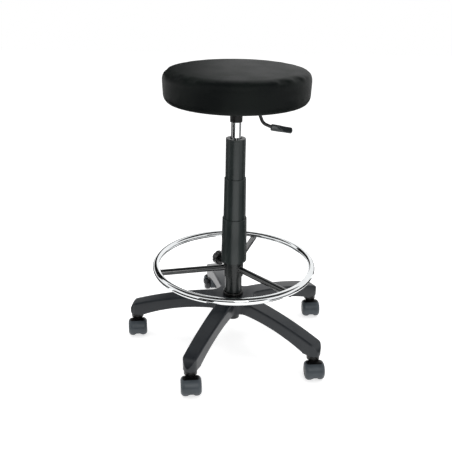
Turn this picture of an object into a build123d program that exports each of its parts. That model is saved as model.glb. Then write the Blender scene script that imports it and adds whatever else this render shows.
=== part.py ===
from build123d import *
import os

# Height-adjustable round stool on a five-arm caster base, with a foot ring.
# Millimetres. Origin on the floor on the stool's axis, +X to the lever side,
# +Y to the back, +Z up. The gas lift is drawn at its full height.

# ---- driving dimensions -------------------------------------------------
running_gap = 0.05          # radial clearance of a running fit
slack_gap = 0.3             # clearance between parts that only pass each other

# casters
caster_circle_radius = 296.8
first_arm_azimuth = 176.0
arm_count = 5
wheel_radius = 24.0
wheel_inner_face = 8.8      # from the caster's middle plane
wheel_width = 17.2
wheel_inner_round = 3.0
wheel_outer_round = 8.0
wheel_rim_thickness = 5.0
wheel_web_thickness = 3.8
wheel_hub_radius = 7.0
caster_trail = 20.0
caster_trail_azimuths = (-82.0, -83.0, -84.0, -85.0, 100.0)
hood_gap = 2.0
hood_side_gap = 0.6
hood_thickness = 1.8
hood_shoulder = 12.0
hood_skirt_radius = 15.0
hood_low_angle = -38.0
hood_high_angle = 118.0
hood_arch_radius = 12.0
neck_radius = 18.0
neck_bottom = 49.5
stem_radius = 5.5
stem_bottom = 34.0
stem_grip_length = 32.0
stem_flange_radius = 17.0
stem_flange_thickness = 1.9
axle_radius = 3.0
axle_cap_thickness = 3.7

# base star
arm_underside = 65.7
arm_width_at_hub = 52.0
arm_tip_radius = 20.5
arm_corner_round = 4.5
arm_web_round = 26.0
nose_start = 15.8            # where the arm's end starts to fall, in from its tip
nose_shoulder_in = 4.3
nose_shoulder_height = 88.8
nose_crease = 0.4
star_wall = 4.0
star_hub_radius = 34.0
star_top = 148.0
star_mid_radius = 183.0
star_mid_top = 131.5
star_tip_top = 98.0
star_root_underside = 106.0
star_mid_underside_radius = 158.0
star_mid_underside = 101.0
star_hub_bottom = 95.0
star_foot_step = 2.3        # step up from the socket's foot to the arm's underside
star_axis_gap = 0.1         # keeps the turned section off its own axis
rib_thickness = 3.0
rib_shares = (0.32, 0.54, 0.76)   # places of the cross ribs along an arm
socket_foot_margin = 2.0
socket_wall = 3.0
pocket_top_extra = 3.0      # thicker top than sides
pocket_overrun = 30.0       # the pocket's cutter runs on below the underside
insert_wall = 3.0
collar_radius = 30.3
collar_height = 12.0
collar_round = 4.0

# gas lift
standpipe_radius = 25.0
standpipe_wall = 2.5
standpipe_top = 415.0
standpipe_taper_radius = 23.0
standpipe_foot_radius = 19.5
standpipe_bottom = 68.6
standpipe_floor = 4.0
tube_radius = 14.0
tube_wall = 2.0
tube_top = 716.0
tube_bottom = 300.0
tube_cap_thickness = 8.0
rod_radius = 5.0
rod_neck_radius = 4.0
rod_bottom = 60.6
rod_top = 325.0
piston_length = 15.0
seal_height = 8.0
bush_length = 85.0
bush_flange_height = 3.0
bearing_radius = 12.0
bearing_height = 7.0
bearing_ball_radius = 1.5
bearing_ball_count = 10
bumper_radius = 13.0
bumper_height = 14.0
clip_radius = 9.0
clip_thickness = 1.5
button_radius = 4.0
button_rise = 6.0
button_length = 22.0
button_dome = 2.5

# telescopic cover
cover_wall = 1.8
upper_cover_top = 630.0
upper_cover_bottom = 480.0
upper_cover_top_radius = 27.9
upper_cover_bottom_radius = 28.4
upper_lip_opening = 17.0
upper_lip_thickness = 2.2
middle_cover_top = 516.0
middle_cover_bottom = 362.0
middle_cover_top_radius = 30.8
middle_cover_bottom_radius = 32.8
lower_cover_top = 395.5
lower_cover_top_radius = 35.2
lower_cover_bottom_radius = 37.5
lower_lip_thickness = 2.0
grommet_height = 8.5

# foot ring
ring_radius = 228.5
ring_tube_radius = 10.0
ring_tube_wall = 2.0
ring_height = 246.5
spoke_radius = 9.0
spoke_wall = 1.5
spoke_height = 238.0
spoke_azimuths = (193.5, 313.5, 73.5)
ring_hub_radius = 28.7
ring_hub_bottom = 212.0
ring_hub_top = 262.0
hub_bush_wall = 1.5
clamp_azimuth = 129.0
clamp_height = 240.0
clamp_boss_radius = 10.0
clamp_boss_end = 46.0
clamp_stud_radius = 4.0
clamp_knob_radius = 21.0
clamp_knob_start = 60.0
clamp_knob_thickness = 20.0
clamp_knob_lobes = 6
clamp_lobe_cut = 5.0
clamp_lobe_depth = 1.6
clamp_knob_neck = 9.0

# seat
seat_radius = 197.0
seat_top = 817.0
seat_bottom = 737.0
seat_top_round = 24.0
seat_bottom_round = 20.0
cover_skin = 2.0
cover_hem_radius = 150.0
board_radius = 176.0
board_thickness = 12.0
dust_cover_thickness = 1.0
plate_size = 165.0
plate_thickness = 3.0
plate_corner = 14.0
bolt_pitch = 130.0
bolt_radius = 3.0
bolt_head_radius = 5.2
bolt_head_height = 4.0
washer_radius = 7.0
washer_thickness = 1.4
t_nut_flange_radius = 10.0
t_nut_flange = 1.2
t_nut_barrel_radius = 4.0
t_nut_barrel = 9.0
staple_count = 36
staple_width = 10.0
staple_wire = 0.8

# mechanism box and lever
box_length = 96.0
box_width = 56.0
box_height = 24.0
box_wall = 2.5
box_corner = 8.0
socket_top_radius = 17.6
socket_bottom_radius = 17.0
socket_bottom = 676.0
pin_radius = 2.5
pin_x = 22.0
lever_height = 724.5
lever_rod_radius = 4.6
lever_boss_radius = 6.5
lever_boss_width = 14.0
tongue_reach = 28.0
tongue_width = 12.0
lever_path = ((52.0, 724.5), (73.0, 672.0), (100.0, 661.0))
lever_bends = (11.0, 24.0)
slot_half_height = 7.9
slot_floor_gap = 1.8        # under the lever where it leaves the box
handle_length = 58.0
handle_width = 20.0
handle_thickness = 8.0
handle_drop_angle = 11.0
handle_tilt = 45.0          # the blade's face leans to the front
handle_scoop_radius = 34.0

# ---- sizes that follow ----------------------------------------------------
star_tip = caster_circle_radius + arm_tip_radius
neck_top = arm_underside - stem_flange_thickness - 0.2
hood_inner = wheel_radius + hood_gap
hood_outer = hood_inner + hood_thickness
wheel_outer_face = wheel_inner_face + wheel_width
caster_web_half = wheel_inner_face - 0.5
standpipe_bore = standpipe_radius - standpipe_wall
bearing_bottom = standpipe_bottom + standpipe_floor
rod_shoulder = bearing_bottom + bearing_height
board_bottom = seat_bottom + cover_skin
board_top = board_bottom + board_thickness
plate_top = board_bottom - dust_cover_thickness
plate_bottom = plate_top - plate_thickness
box_bottom = plate_bottom - box_height


def save(part, name):
    """Write one node, a solid or a group of solids, to its STEP file."""
    export_step(part, f"parts/{name}.step")


def ring(outer, inner, bottom, top):
    """A plain ring about the stool's axis."""
    height = top - bottom
    body = Pos(0, 0, bottom + height / 2) * Cylinder(outer, height)
    return body - Pos(0, 0, bottom + height / 2) * Cylinder(inner, height)


def disc(radius, bottom, top):
    """A plain disc about the stool's axis."""
    return Pos(0, 0, (bottom + top) / 2) * Cylinder(radius, top - bottom)


def turned(points):
    """A solid turned about the stool's axis from (radius, height) points."""
    outline = Polyline(*[(x, 0, z) for x, z in points], close=True)
    return revolve(make_face(outline), Axis.Z)


def around(count, start=0.0):
    """Turns about the stool's axis, evenly spaced."""
    return [Rot(0, 0, start + index * 360.0 / count) for index in range(count)]


# ---- base -------------------------------------------------------------------
def star_plan(margin):
    """Plan outline of the star, drawn in by a margin, with round webs between arms."""
    root = arm_width_at_hub / 2 - margin
    tip = arm_tip_radius - margin
    blade = Polyline((0, -root), (caster_circle_radius, -tip), (caster_circle_radius, tip), (0, root), close=True)
    arm = make_face(blade) + Pos(caster_circle_radius, 0) * Circle(tip)
    plan = Circle(star_hub_radius - margin)
    for turn in around(arm_count, first_arm_azimuth):
        plan = plan + turn * arm
    crotches = plan.vertices().group_by(lambda v: round(Vector(v.X, v.Y, 0).length))[0]
    return fillet(crotches, arm_web_round)


def star_section(drop, low):
    """Turned solid between the star's arched top, lowered by drop, and its underside."""
    top_arc = ThreePointArc((star_axis_gap, 0, star_top - drop), (star_mid_radius, 0, star_mid_top - drop),
                            (star_tip, 0, star_tip_top - drop))
    flat_start = caster_circle_radius - arm_tip_radius - socket_foot_margin
    under_arc = ThreePointArc((star_hub_radius, 0, star_root_underside - low),
                              (star_mid_underside_radius, 0, star_mid_underside - low),
                              (flat_start, 0, arm_underside + star_foot_step - low))
    sides = Polyline((star_tip, 0, star_tip_top - drop), (star_tip, 0, arm_underside - low),
                     (flat_start, 0, arm_underside - low), (flat_start, 0, arm_underside + star_foot_step - low))
    root = Polyline((star_hub_radius, 0, star_root_underside - low), (star_hub_radius, 0, star_hub_bottom - low),
                    (star_axis_gap, 0, star_hub_bottom - low), (star_axis_gap, 0, star_top - drop))
    return revolve(make_face([top_arc, sides, under_arc, root]), Axis.Z)


def hub_taper(extra):
    """The standpipe's tapered foot as a solid, grown by extra all round."""
    top = star_top + collar_height
    return turned([(0, standpipe_bottom), (standpipe_foot_radius + extra, standpipe_bottom),
                   (standpipe_foot_radius + extra, star_hub_bottom - 10.0),
                   (standpipe_taper_radius + extra, star_hub_bottom),
                   (standpipe_radius + extra, star_top), (standpipe_radius + extra, top), (0, top)])


def nose_cutter():
    """Turned cutter that leaves the arms' ends falling in a blunt, creased nose."""
    start = star_tip - nose_start
    rise = (star_top - star_tip_top) / star_tip ** 2
    start_height = star_top - rise * start ** 2 + nose_crease
    fall = ThreePointArc((start, 0, start_height), (star_tip - nose_shoulder_in, 0, nose_shoulder_height),
                         (star_tip + nose_crease, 0, arm_underside))
    outside = Polyline((star_tip + nose_crease, 0, arm_underside), (star_tip + arm_tip_radius, 0, arm_underside),
                       (star_tip + arm_tip_radius, 0, star_top), (start, 0, star_top), (start, 0, start_height))
    return revolve(make_face([fall, outside]), Axis.Z)


def base_star():
    """Moulded five-arm star: arched arms, open ribbed undersides, stem sockets."""
    height = star_top + 40.0
    body = extrude(star_plan(0.0), height) & star_section(0.0, 0.0)
    top_face = body.faces().sort_by(lambda f: f.center().Z * (f.area > 20000))[-1]
    body = fillet(top_face.outer_wire().edges(), arm_corner_round) - nose_cutter()
    pocket = extrude(star_plan(star_wall), height) & star_section(star_wall + pocket_top_extra, pocket_overrun)
    pocket = pocket - disc(star_hub_radius + 2.0, 0, height)
    for turn in around(arm_count, first_arm_azimuth):
        socket = turn * Pos(caster_circle_radius, 0, height / 2) * Cylinder(arm_tip_radius - socket_wall, height)
        tip_wall = turn * Pos(star_tip, 0, height / 2) * Box(2 * arm_tip_radius, 2 * arm_tip_radius, height)
        spine = turn * Pos(caster_circle_radius / 2, 0, height / 2) * Box(caster_circle_radius, rib_thickness, height)
        pocket = pocket - socket - tip_wall - spine
        for share in rib_shares:
            place = turn * Pos(caster_circle_radius * share, 0, height / 2)
            pocket = pocket - place * Box(rib_thickness, 2 * arm_tip_radius, height)
    body = body - pocket - disc(standpipe_taper_radius + insert_wall, 0, height)
    body = body - turned([(0, star_hub_bottom), (standpipe_taper_radius + insert_wall, star_hub_bottom),
                          (standpipe_radius + insert_wall, star_top), (0, star_top)])
    for turn in around(arm_count, first_arm_azimuth):
        depth = stem_grip_length + 1.0
        socket_bore = Cylinder(stem_radius, depth)
        body = body - turn * Pos(caster_circle_radius, 0, arm_underside + depth / 2) * socket_bore
    return body


def hub_insert():
    """Steel sleeve moulded into the star's hub for the column's taper."""
    sleeve = turned([(0, star_hub_bottom), (standpipe_taper_radius + insert_wall, star_hub_bottom),
                     (standpipe_radius + insert_wall, star_top), (0, star_top)])
    return sleeve - hub_taper(0.0)


def base_collar():
    """Trim ring where the column enters the hub."""
    collar = ring(collar_radius, standpipe_radius, star_top, star_top + collar_height)
    rim = collar.edges().filter_by(GeomType.CIRCLE).sort_by(lambda e: e.center().Z + e.radius)[-1]
    return fillet(rim, collar_round)


def standpipe():
    """Column tube with a tapered foot and a pierced floor for the piston rod."""
    body = hub_taper(0.0) + disc(standpipe_radius, star_top, standpipe_top)
    bore = disc(standpipe_bore, star_top, standpipe_top)
    foot_bore = turned([(0, bearing_bottom), (standpipe_foot_radius - standpipe_wall, bearing_bottom),
                        (standpipe_foot_radius - standpipe_wall, star_hub_bottom - 10.0),
                        (standpipe_taper_radius - standpipe_wall, star_hub_bottom),
                        (standpipe_bore, star_top), (0, star_top)])
    return body - bore - foot_bore - disc(rod_neck_radius + slack_gap, 0, star_top)


def guide_bush():
    """Plastic bush in the top of the column that guides the pressure tube."""
    body = ring(standpipe_bore, tube_radius + running_gap, standpipe_top - bush_length, standpipe_top)
    flange = ring(standpipe_radius - 0.4, tube_radius + running_gap, standpipe_top, standpipe_top + bush_flange_height)
    return body + flange


def thrust_bearing():
    """Ball thrust bearing under the piston rod: two washers and a ring of balls."""
    washer_height = (bearing_height - 2 * bearing_ball_radius) / 2
    middle = bearing_bottom + bearing_height / 2
    pieces = [ring(bearing_radius, rod_neck_radius + slack_gap, bearing_bottom, bearing_bottom + washer_height),
              ring(bearing_radius, rod_neck_radius + slack_gap, rod_shoulder - washer_height, rod_shoulder)]
    ball = Pos(bearing_radius - 3.5, 0, middle) * Sphere(bearing_ball_radius - 0.02)
    pieces += [turn * ball for turn in around(bearing_ball_count)]
    return Compound(children=[piece.solids()[0] for piece in pieces])


def piston_rod():
    """Fixed rod of the gas spring, with a neck through the column's floor."""
    body = disc(rod_radius, rod_shoulder, rod_top) + disc(rod_neck_radius, rod_bottom, rod_shoulder)
    groove_bottom = standpipe_bottom - slack_gap - clip_thickness
    groove = ring(rod_radius, rod_neck_radius - 0.8, groove_bottom, groove_bottom + clip_thickness)
    return body - groove


def retaining_clip():
    """Spring clip in the rod's groove under the column's floor."""
    bottom = standpipe_bottom - slack_gap - clip_thickness
    body = ring(clip_radius, rod_neck_radius - 0.8, bottom, bottom + clip_thickness)
    mouth = Pos(clip_radius, 0, bottom) * Box(2 * clip_radius, 5.0, 4 * clip_thickness)
    return body - mouth


def piston():
    """Piston on the rod's top end, with two ring grooves."""
    body = ring(tube_radius - tube_wall - running_gap, rod_radius, rod_top - piston_length, rod_top)
    for share in (0.3, 0.7):
        middle = rod_top - piston_length * share
        body = body - ring(tube_radius, tube_radius - tube_wall - 1.0, middle - 1.0, middle + 1.0)
    return body


def bumper():
    """Rubber buffer on the rod above the bearing."""
    body = ring(bumper_radius, rod_radius, rod_shoulder, rod_shoulder + bumper_height)
    return fillet(body.edges().sort_by(Axis.Z)[-1], 2.0)


def pressure_tube():
    """Chromed pressure tube of the gas spring, closed at the top around the button."""
    body = disc(tube_radius, tube_bottom, tube_top)
    body = body - disc(tube_radius - tube_wall, tube_bottom, tube_top - tube_cap_thickness)
    body = body - disc(button_radius + running_gap, tube_bottom, tube_top)
    return body


def rod_seal():
    """Seal and guide in the pressure tube's lower end."""
    return ring(tube_radius - tube_wall, rod_radius + running_gap, tube_bottom, tube_bottom + seal_height)


def release_button():
    """Valve button on top of the gas spring."""
    body = disc(button_radius, tube_top + button_rise - button_length, tube_top + button_rise)
    return fillet(body.edges().sort_by(Axis.Z)[-1], button_dome)


# ---- telescopic cover ---------------------------------------------------------
def cover_shell(top, bottom, top_radius, bottom_radius):
    """Open tapered tube with the cover's wall."""
    return turned([(bottom_radius - cover_wall, bottom), (bottom_radius, bottom), (top_radius, top),
                   (top_radius - cover_wall, top)])


def upper_cover():
    """Narrow top stage with an in-turned lip around the pressure tube."""
    shell = cover_shell(upper_cover_top, upper_cover_bottom, upper_cover_top_radius, upper_cover_bottom_radius)
    lip = ring(upper_cover_top_radius, upper_lip_opening, upper_cover_top - upper_lip_thickness, upper_cover_top)
    body = shell + lip
    rim = body.edges().filter_by(GeomType.CIRCLE).sort_by(lambda e: e.center().Z * 10 + e.radius)[-1]
    return fillet(rim, 1.4)


def cover_grommet():
    """Rubber ring that grips the pressure tube and carries the upper cover."""
    top = upper_cover_top - upper_lip_thickness
    return ring(upper_cover_top_radius - cover_wall, tube_radius, top - grommet_height, top)


def middle_cover():
    """Middle stage, free between the other two."""
    body = cover_shell(middle_cover_top, middle_cover_bottom, middle_cover_top_radius, middle_cover_bottom_radius)
    rim = body.edges().filter_by(GeomType.CIRCLE).sort_by(lambda e: e.center().Z * 10 + e.radius)[-1]
    return fillet(rim, 1.2)


def lower_cover():
    """Wide bottom stage that stands on the foot ring's hub."""
    body = cover_shell(lower_cover_top, ring_hub_top, lower_cover_top_radius, lower_cover_bottom_radius)
    body = body + ring(lower_cover_bottom_radius - 0.5, standpipe_radius + 2 * slack_gap, ring_hub_top,
                       ring_hub_top + lower_lip_thickness)
    rim = body.edges().filter_by(GeomType.CIRCLE).sort_by(lambda e: e.center().Z * 10 + e.radius)[-1]
    return fillet(rim, 1.2)


# ---- foot ring ------------------------------------------------------------------
def foot_ring():
    """Round steel tube bent into a full ring."""
    tube = Torus(ring_radius, ring_tube_radius) - Torus(ring_radius, ring_tube_radius - ring_tube_wall)
    return Pos(0, 0, ring_height) * tube


def ring_spokes():
    """Three round spokes between the hub and the ring, cut to both."""
    length = ring_radius
    spokes = []
    for azimuth in spoke_azimuths:
        tube = Cylinder(spoke_radius, length) - Cylinder(spoke_radius - spoke_wall, length)
        bar = Rot(0, 0, azimuth) * Pos(length / 2, 0, spoke_height) * Rot(0, 90, 0) * tube
        bar = bar - Pos(0, 0, ring_height) * Torus(ring_radius, ring_tube_radius)
        bar = bar - disc(ring_hub_radius, ring_hub_bottom, ring_hub_top)
        spokes.append(bar.solids().sort_by(SortBy.VOLUME)[-1])
    return Compound(children=spokes)


def clamp_axis(start, end, radius):
    """A round bar along the clamp screw's axis, between two distances from the column's axis."""
    bar = Rot(0, 90, 0) * Cylinder(radius, end - start)
    return Rot(0, 0, clamp_azimuth) * Pos((start + end) / 2, 0, clamp_height) * bar


def ring_hub():
    """Sleeve that carries the spokes, with a threaded boss for the clamp screw."""
    body = disc(ring_hub_radius, ring_hub_bottom, ring_hub_top)
    body = body + clamp_axis(ring_hub_radius - 3.0, clamp_boss_end, clamp_boss_radius)
    body = body - disc(standpipe_radius + running_gap + hub_bush_wall, ring_hub_bottom, ring_hub_top)
    return body - clamp_axis(0, clamp_boss_end, clamp_stud_radius + running_gap)


def hub_bush():
    """Plastic liner between the sleeve and the column."""
    inner = standpipe_radius + running_gap
    body = ring(inner + hub_bush_wall, inner, ring_hub_bottom, ring_hub_top)
    return body - clamp_axis(0, clamp_boss_end, clamp_stud_radius + slack_gap)


def clamp_stud():
    """Screw that presses on the column through the hub's boss."""
    tip = standpipe_radius + 0.4
    bar = clamp_axis(tip, clamp_knob_start + clamp_knob_thickness * 0.6, clamp_stud_radius)
    return chamfer(bar.edges().filter_by(GeomType.CIRCLE).sort_by(lambda e: e.center().Y)[0], 0.8)


def clamp_knob():
    """Lobed hand knob on the clamp screw."""
    grip = Cylinder(clamp_knob_radius, clamp_knob_thickness)
    for turn in around(clamp_knob_lobes, 180.0 / clamp_knob_lobes):
        notch = Cylinder(clamp_lobe_cut, clamp_knob_thickness)
        grip = grip - turn * Pos(clamp_knob_radius + clamp_lobe_cut - clamp_lobe_depth, 0, 0) * notch
    top_edges = grip.faces().sort_by(Axis.Z)[-1].outer_wire().edges()
    bottom_edges = grip.faces().sort_by(Axis.Z)[0].outer_wire().edges()
    grip = fillet(top_edges + bottom_edges, 3.0)
    middle = clamp_knob_start + clamp_knob_thickness / 2
    grip = Rot(0, 0, clamp_azimuth) * Pos(middle, 0, clamp_height) * Rot(0, 90, 0) * grip
    neck_start = clamp_boss_end + 3.0
    body = grip + clamp_axis(neck_start, clamp_knob_start + 1.0, clamp_knob_neck)
    return body - clamp_axis(neck_start, clamp_knob_start + clamp_knob_thickness * 0.6, clamp_stud_radius)


# ---- seat -----------------------------------------------------------------------
def cushion(margin):
    """Round cushion solid, drawn in by a margin."""
    bottom = seat_bottom + margin
    top = seat_top - margin
    body = disc(seat_radius - margin, bottom, top)
    body = fillet(body.edges().filter_by(GeomType.CIRCLE).sort_by(Axis.Z)[-1], seat_top_round - margin)
    return fillet(body.edges().filter_by(GeomType.CIRCLE).sort_by(Axis.Z)[0], seat_bottom_round - margin)


def seat_cover():
    """Sewn cover: top, side band and a hem turned under the board."""
    hem_hole = disc(cover_hem_radius, seat_bottom, seat_bottom + cover_skin)
    return cushion(0.0) - cushion(cover_skin) - hem_hole


def bolt_places():
    """The four seat bolts' places in plan."""
    half = bolt_pitch / 2
    return [Pos(x, y) for x in (-half, half) for y in (-half, half)]


def seat_board():
    """Plywood disc with holes for the T-nuts."""
    body = disc(board_radius, board_bottom, board_top)
    for place in bolt_places():
        body = body - place * disc(t_nut_barrel_radius, board_bottom, board_top)
    return body


def seat_foam():
    """Foam pad over and around the board."""
    body = cushion(cover_skin) - disc(board_radius, seat_bottom, board_top)
    for place in bolt_places():
        body = body - place * disc(t_nut_flange_radius, board_top, board_top + t_nut_flange)
        body = body - place * disc(bolt_radius + slack_gap, board_top, board_top + t_nut_flange + 2.0)
    return body


def dust_cover():
    """Black underside cloth inside the hem."""
    body = disc(cover_hem_radius - 0.3, plate_top, board_bottom)
    for place in bolt_places():
        body = body - place * disc(bolt_radius + slack_gap, plate_top, board_bottom)
    return body


def staples():
    """Wire staples that hold the hem to the board, as one group."""
    middle = (cover_hem_radius + board_radius) / 2
    wire = Pos(middle, 0, seat_bottom - staple_wire / 2) * Box(staple_wire, staple_width, staple_wire)
    return Compound(children=[(turn * wire).solids()[0] for turn in around(staple_count, 5.0)])


def t_nuts():
    """T-nuts pressed into the board from above, as one group."""
    top = board_top + t_nut_flange
    nut = disc(t_nut_flange_radius, board_top, top) + disc(t_nut_barrel_radius, board_top - t_nut_barrel, board_top)
    nut = nut - disc(bolt_radius + 0.02, board_top - t_nut_barrel, top)
    return Compound(children=[(place * nut).solids()[0] for place in bolt_places()])


def plate_bolts():
    """Hexagon bolts that fasten the seat plate, as one group."""
    head_top = plate_bottom - washer_thickness
    head = Pos(0, 0, head_top - bolt_head_height) * extrude(RegularPolygon(bolt_head_radius, 6), bolt_head_height)
    bolt = head + disc(bolt_radius, head_top, board_top)
    return Compound(children=[(place * bolt).solids()[0] for place in bolt_places()])


def plate_washers():
    """Washers under the bolt heads, as one group."""
    washer = ring(washer_radius, bolt_radius + 0.2, plate_bottom - washer_thickness, plate_bottom)
    return Compound(children=[(place * washer).solids()[0] for place in bolt_places()])


def seat_plate():
    """Pressed-steel seat plate with a mechanism box and a socket for the gas spring."""
    body = extrude(RectangleRounded(plate_size, plate_size, plate_corner), plate_thickness)
    body = Pos(0, 0, plate_bottom) * body
    for place in bolt_places():
        body = body - place * disc(bolt_radius + 0.4, plate_bottom, plate_top)
    shell = extrude(RectangleRounded(box_length, box_width, box_corner), box_height)
    inside = RectangleRounded(box_length - 2 * box_wall, box_width - 2 * box_wall, box_corner - box_wall)
    room = extrude(inside, box_height - box_wall)
    box = Pos(0, 0, box_bottom) * shell - Pos(0, 0, box_bottom + box_wall) * room
    socket = turned([(0, socket_bottom), (socket_bottom_radius, socket_bottom),
                     (socket_top_radius, box_bottom), (socket_top_radius, box_bottom + box_wall),
                     (0, box_bottom + box_wall)])
    body = body + box + socket - disc(tube_radius, socket_bottom, plate_bottom)
    slot = Box(3 * box_wall, 2 * lever_rod_radius + 2.0, 2 * slot_half_height)
    slot_middle = lever_height + slot_half_height - lever_rod_radius - slot_floor_gap
    body = body - Pos(box_length / 2, 0, slot_middle) * slot
    return body - lever_pin()


def lever_pin():
    """Pin across the box that the lever turns on."""
    return Pos(pin_x, 0, lever_height) * Rot(90, 0, 0) * Cylinder(pin_radius, box_width)


def lever_rod():
    """Bent lever rod with a pierced boss and a flat tongue over the button."""
    (x1, z1), (x2, z2), (x3, z3) = lever_path
    path = FilletPolyline((pin_x, 0, lever_height), (x1, 0, z1), (x2, 0, z2), (x3, 0, z3), radius=lever_bends)
    rod = sweep(Plane((pin_x, 0, lever_height), z_dir=(1, 0, 0)) * Circle(lever_rod_radius), path)
    boss = Pos(pin_x, 0, lever_height) * Rot(90, 0, 0) * Cylinder(lever_boss_radius, lever_boss_width)
    tongue_bottom = tube_top + button_rise + slack_gap
    tongue_top = lever_height + 2.0
    tongue = Pos(pin_x - tongue_reach / 2, 0, (tongue_bottom + tongue_top) / 2)
    tongue = tongue * Box(tongue_reach, tongue_width, tongue_top - tongue_bottom)
    body = rod + boss + tongue
    clearance = Cylinder(pin_radius + running_gap, box_width)
    return body - Pos(pin_x, 0, lever_height) * Rot(90, 0, 0) * clearance


def lever_handle():
    """Moulded paddle on the lever's outer end, with a thumb scoop on top."""
    end_x, end_z = lever_path[-1]
    barrel = Rot(0, 90, 0) * Cylinder(lever_rod_radius + 2.2, 18.0)
    blade = extrude(RectangleRounded(handle_length - 8.0, handle_width, 8.0), handle_thickness)
    blade = Pos(handle_length / 2 + 2.0, 0, -handle_thickness / 2) * fillet(blade.edges().filter_by(Plane.XY), 2.4)
    scoop = Pos(handle_length / 2 + 6.0, 0, handle_scoop_radius + 0.8) * Rot(0, 90, 0)
    blade = blade - scoop * Cylinder(handle_scoop_radius, handle_length - 24.0)
    place = Pos(end_x - 4.0, 0, end_z + 1.5) * Rot(0, handle_drop_angle, 0) * Rot(handle_tilt, 0, 0)
    body = place * (Pos(3.0, 0, 0) * barrel + blade)
    return body - lever_rod()


# ---- casters ----------------------------------------------------------------------
def caster_place(index):
    """Turn a caster, drawn with its stem on the axis and trailing to +X, into its place."""
    arm = Rot(0, 0, first_arm_azimuth + index * 360.0 / arm_count) * Pos(caster_circle_radius, 0, 0)
    centre = arm.position
    return Pos(centre.X, centre.Y, 0) * Rot(0, 0, caster_trail_azimuths[index])


def axle_bar(radius, start, end):
    """A round bar along the wheel axis, between two distances from the middle plane."""
    bar = Rot(90, 0, 0) * Cylinder(radius, end - start)
    return Pos(caster_trail, (start + end) / 2, wheel_radius) * bar


def hood_section(margin):
    """Fender section drawn in by a margin: x is the distance from the axle, y runs along it."""
    half = wheel_outer_face + hood_side_gap + hood_thickness - margin
    outer = hood_inner + hood_thickness - margin
    outline = Pos((hood_skirt_radius + outer) / 2, 0) * Rectangle(outer - hood_skirt_radius, 2 * half)
    return fillet(outline.vertices().group_by(Axis.X)[-1], hood_shoulder - margin)


def caster_hood():
    """Caster body: round-shouldered fender over both wheels, web, axle boss and swivel neck."""
    section = Rot(0, -hood_high_angle, 0) * (hood_section(0.0) - hood_section(hood_thickness))
    shell = revolve(section, Axis.Y, hood_high_angle - hood_low_angle)
    shell = Pos(caster_trail, 0, wheel_radius) * shell
    arch = Rot(0, 90, 0) * Cylinder(hood_arch_radius, 2 * hood_outer)
    shell = shell - Pos(caster_trail + hood_outer, 0, 2.0) * arch
    web = axle_bar(hood_inner + 0.5, -caster_web_half, caster_web_half)
    web = web - Pos(caster_trail, 0, 4.0) * Box(4 * hood_outer, 2 * hood_outer, 16.0)
    bridge_bottom = stem_bottom - 3.0
    bridge_height = neck_bottom - bridge_bottom
    boss = Pos(0, 0, bridge_bottom + bridge_height / 2) * Cylinder(caster_web_half, bridge_height)
    bridge = Pos(caster_trail / 2, 0, bridge_bottom + bridge_height / 2)
    bridge = bridge * Box(caster_trail, 2 * caster_web_half, bridge_height)
    neck = Pos(0, 0, (neck_bottom + neck_top) / 2) * Cylinder(neck_radius, neck_top - neck_bottom)
    neck = fillet(neck.edges().filter_by(GeomType.CIRCLE), 2.5)
    body = shell + web + boss + bridge + neck
    bore = Pos(0, 0, (stem_bottom + neck_top) / 2) * Cylinder(stem_radius + running_gap, neck_top - stem_bottom)
    return body - bore - axle_bar(axle_radius, -wheel_outer_face, wheel_outer_face)


def caster_stem():
    """Steel stem: grip in the arm's socket, flange under the arm, pivot in the hood."""
    top = arm_underside + stem_grip_length
    bar = Pos(0, 0, (stem_bottom + 1.0 + top) / 2) * Cylinder(stem_radius, top - stem_bottom - 1.0)
    bar = chamfer(bar.edges().filter_by(GeomType.CIRCLE), 1.0)
    flange = Pos(0, 0, arm_underside - stem_flange_thickness / 2)
    return bar + flange * Cylinder(stem_flange_radius, stem_flange_thickness)


def caster_axle():
    """Steel axle pressed through the web."""
    end = wheel_outer_face - axle_cap_thickness - 0.2
    bar = axle_bar(axle_radius, -end, end)
    return chamfer(bar.edges().filter_by(GeomType.CIRCLE), 0.5)


def caster_wheel(side):
    """Nylon wheel: round-edged tread, thin web, long hub with a closed cap."""
    near = wheel_inner_face
    far = wheel_outer_face
    body = axle_bar(wheel_radius, near, far)
    rims = body.edges().filter_by(GeomType.CIRCLE).sort_by(lambda e: abs(e.center().Y))
    body = fillet(rims[-1], wheel_outer_round)
    rims = body.edges().filter_by(GeomType.CIRCLE).sort_by(lambda e: abs(e.center().Y) - e.radius)
    body = fillet(rims[0], wheel_inner_round)
    rim_bore = wheel_radius - wheel_rim_thickness
    cavity = axle_bar(rim_bore, near, far - wheel_web_thickness - 2.0) - axle_bar(wheel_hub_radius, near, far)
    dish = axle_bar(rim_bore, far - 2.0, far) - axle_bar(wheel_hub_radius, near, far)
    body = body - cavity - dish
    body = body - axle_bar(axle_radius + running_gap, near, far - axle_cap_thickness)
    if side < 0:
        body = mirror(body, Plane.XZ)
    return body


def casters():
    """All five casters, each with a hood, stem, axle and two wheels."""
    kinds = {"hood": caster_hood(), "stem": caster_stem(), "axle": caster_axle(),
             "wheel_left": caster_wheel(-1), "wheel_right": caster_wheel(1)}
    for index in range(arm_count):
        for kind, piece in kinds.items():
            save(caster_place(index) * piece, f"caster_{index + 1}_{kind}")


def main():
    """Build and write every node."""
    os.makedirs("parts", exist_ok=True)
    makers = (base_star, hub_insert, base_collar, standpipe, guide_bush, thrust_bearing, piston_rod,
              retaining_clip, piston, bumper, pressure_tube, rod_seal, release_button, upper_cover,
              cover_grommet, middle_cover, lower_cover, foot_ring, ring_spokes, ring_hub, hub_bush,
              clamp_stud, clamp_knob, seat_cover, seat_board, seat_foam, dust_cover, staples, t_nuts,
              plate_bolts, plate_washers, seat_plate, lever_pin, lever_rod, lever_handle)
    for maker in makers:
        save(maker(), maker.__name__)
    casters()


main()
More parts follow.
